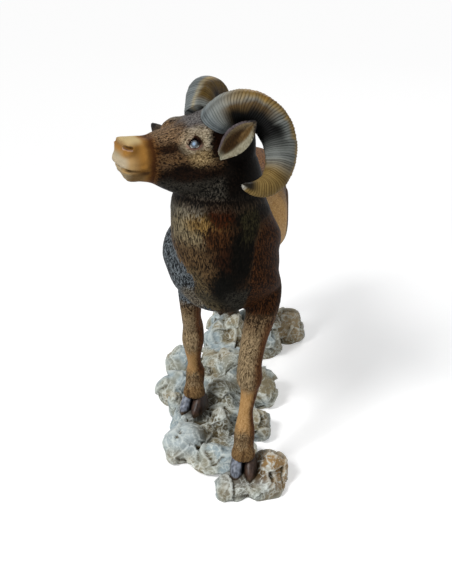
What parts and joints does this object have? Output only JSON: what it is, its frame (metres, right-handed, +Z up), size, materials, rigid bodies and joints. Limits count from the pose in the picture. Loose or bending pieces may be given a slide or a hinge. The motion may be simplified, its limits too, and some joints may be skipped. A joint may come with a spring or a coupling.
{
  "type": "resin mouflon nativity figure",
  "caption": "Cast and painted resin mouflon ram for a nativity scene, standing on rocks with its head turned and ridged curled horns.",
  "frame": {"origin": "on the flat underside, below the middle of the trunk", "axes": "+Z up, the ram faces -Y, its left side is +X"},
  "size_m": [0.0901, 0.1943, 0.2053],
  "materials": {
    "painted_resin": "hand-painted satin resin with modelled fur",
    "painted_horn": "hand-painted satin resin with growth ridges",
    "painted_hoof": "hand-painted satin resin, slate grey",
    "painted_eye": "gloss varnish over painted iris",
    "painted_rock": "hand-painted satin resin, grey with white veins"
  },
  "bodies": {
    "root": {"mouflon_figure": "painted_resin"}
  },
  "joints": []
}
